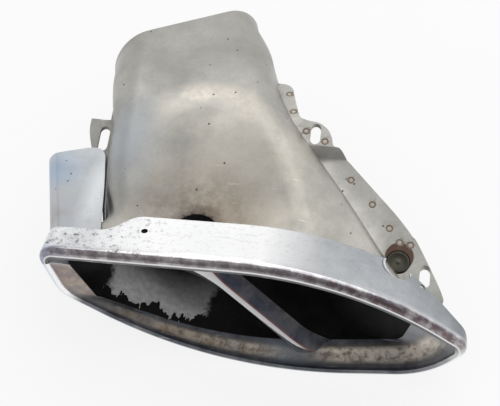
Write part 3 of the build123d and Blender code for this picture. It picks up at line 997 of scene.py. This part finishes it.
# Plug weld: a dished disc with a raised rim
PLUG_RADIUS = 8.3
PLUG_RIM = ((0.05, 0.0), (0.5, 1.5), (0.6, 0.25), (0.9, -0.1))
PLUG_DISH = ((1.6, -0.45), (2.2, -0.1), (1.2, 0.05), (0.4, 0.25))
plug = nugget(PLUG_RADIUS, PLUG_RIM + PLUG_DISH)
plug.name = "PlugWeld"
set_down(plug, Vector(PLUG_AT) + SLOPE_UP * SHEET, SLOPE_UP)
smooth(plug, 50)
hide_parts("plug_weld")

# Each piece gets its finish and its body, and the shell its black inside
SHELL_MIDDLE = laid((-20.0, 70.0, 60.0))
for obj, material, slot_name in (
    (bezel, chrome, "chrome_trim"),
    (divider, divider_chrome, "chrome_trim"),
    (bead, bead_chrome, "chrome_trim"),
    (upper_shell, satin, "satin_shell"),
    (lower_shell, satin, "satin_shell"),
    (bracket, satin, "satin_shell"),
    (plug, tinted, "tinted_weld"),
    (wing, wing_sheet, "satin_wing"),
    (welds, weld_metal, "tinted_weld"),
):
    obj.data.materials.clear()
    obj.data.materials.append(material)
    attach(obj, "root")
paint_inside(upper_shell, SHELL_MIDDLE, Vector((0, 0, 1)))
paint_inside(lower_shell, SHELL_MIDDLE, Vector((0, 0, -1)))

# Floor: a white table that shows almost evenly white and still takes the shadow
FLOOR_SIZE = 12.0
FLOOR_GLOW = 0.8
select_none()
bpy.ops.mesh.primitive_plane_add(size=FLOOR_SIZE)
floor = bpy.context.object
floor.name = "Floor"
table = Sheet("white_table")
nodes, links, shader = table.nodes, table.links, table.shader
shader.inputs["Base Color"].default_value = (0.93, 0.93, 0.93, 1)
shader.inputs["Roughness"].default_value = 0.9
shader.inputs["Specular IOR Level"].default_value = 0.1
glow = nodes.new("ShaderNodeEmission")
glow.inputs["Color"].default_value = (1, 1, 1, 1)
path = nodes.new("ShaderNodeLightPath")
seen = nodes.new("ShaderNodeMath")
seen.operation = "MAXIMUM"
links.new(path.outputs["Is Camera Ray"], seen.inputs[0])
links.new(path.outputs["Is Glossy Ray"], seen.inputs[1])
share = nodes.new("ShaderNodeMath")
share.operation = "MULTIPLY"
share.inputs[1].default_value = FLOOR_GLOW
links.new(seen.outputs[0], share.inputs[0])
blend = nodes.new("ShaderNodeMixShader")
links.new(share.outputs[0], blend.inputs["Fac"])
links.new(shader.outputs[0], blend.inputs[1])
links.new(glow.outputs[0], blend.inputs[2])
links.new(blend.outputs[0], nodes["Material Output"].inputs["Surface"])
floor.data.materials.append(table.material)

# Soft room light: brightest low all round, dimmer above and dimmest where the viewer stands
ROOM_STRENGTH = 0.93
VIEWER_SIDE = (0.12, -0.65, 0.75)
world = bpy.data.worlds.new("soft_room")
bpy.context.scene.world = world
world.use_nodes = True
nodes = world.node_tree.nodes
links = world.node_tree.links
background = nodes["Background"]
coords = nodes.new("ShaderNodeTexCoord")
split = nodes.new("ShaderNodeSeparateXYZ")
links.new(coords.outputs["Generated"], split.inputs[0])
height = nodes.new("ShaderNodeValToRGB")
set_stops(height, ((0.0, 1.05), (0.38, 1.22), (0.62, 0.76), (1.0, (0.75, 0.75, 0.76))))
links.new(split.outputs["Z"], height.inputs["Fac"])
facing = nodes.new("ShaderNodeVectorMath")
facing.operation = "DOT_PRODUCT"
facing.inputs[1].default_value = VIEWER_SIDE
links.new(coords.outputs["Generated"], facing.inputs[0])
viewer = nodes.new("ShaderNodeValToRGB")
set_stops(viewer, ((0.72, 1.0), (0.95, (0.5, 0.5, 0.52))))
links.new(facing.outputs["Value"], viewer.inputs["Fac"])
mix = nodes.new("ShaderNodeMix")
mix.data_type = "RGBA"
mix.blend_type = "MULTIPLY"
mix.inputs[0].default_value = 1.0
links.new(height.outputs["Color"], mix.inputs[6])
links.new(viewer.outputs["Color"], mix.inputs[7])
links.new(mix.outputs[2], background.inputs["Color"])
background.inputs["Strength"].default_value = ROOM_STRENGTH


def area_lamp(name, place, aim, size, energy):
    data = bpy.data.lights.new(name, "AREA")
    data.shape = "RECTANGLE"
    data.size, data.size_y = size
    data.energy = energy
    lamp = bpy.data.objects.new(name, data)
    bpy.context.collection.objects.link(lamp)
    lamp.location = place
    lamp.rotation_euler = (Vector(aim) - Vector(place)).to_track_quat("-Z", "Y").to_euler()


area_lamp("CeilingLight", (0.3, 0.9, 1.6), (0, 0, 0.05), (2.2, 1.4), 10)

# Camera at the photograph's viewing angle
SENSOR = 36.0
PHOTO_WIDTH = 500.0
FOCAL_PIXELS = 965.0
lens = bpy.data.cameras.new("Camera")
lens.sensor_width = SENSOR
lens.lens = FOCAL_PIXELS / PHOTO_WIDTH * SENSOR
lens.clip_start = 0.01
camera = bpy.data.objects.new("Camera", lens)
bpy.context.collection.objects.link(camera)
sight = Vector((-0.11984, 0.55731, -0.82161))
right = Vector((0.98769, 0.15074, -0.04181))
above = Vector((-0.10055, 0.81650, 0.56852))
stand = laid((68.11, -442.94, 527.15))
camera.matrix_world = Matrix(
    (
        (right.x, above.x, -sight.x, stand.x),
        (right.y, above.y, -sight.y, stand.y),
        (right.z, above.z, -sight.z, stand.z),
        (0, 0, 0, 1),
    )
)
bpy.context.scene.camera = camera
bpy.context.scene.view_settings.view_transform = "Standard"
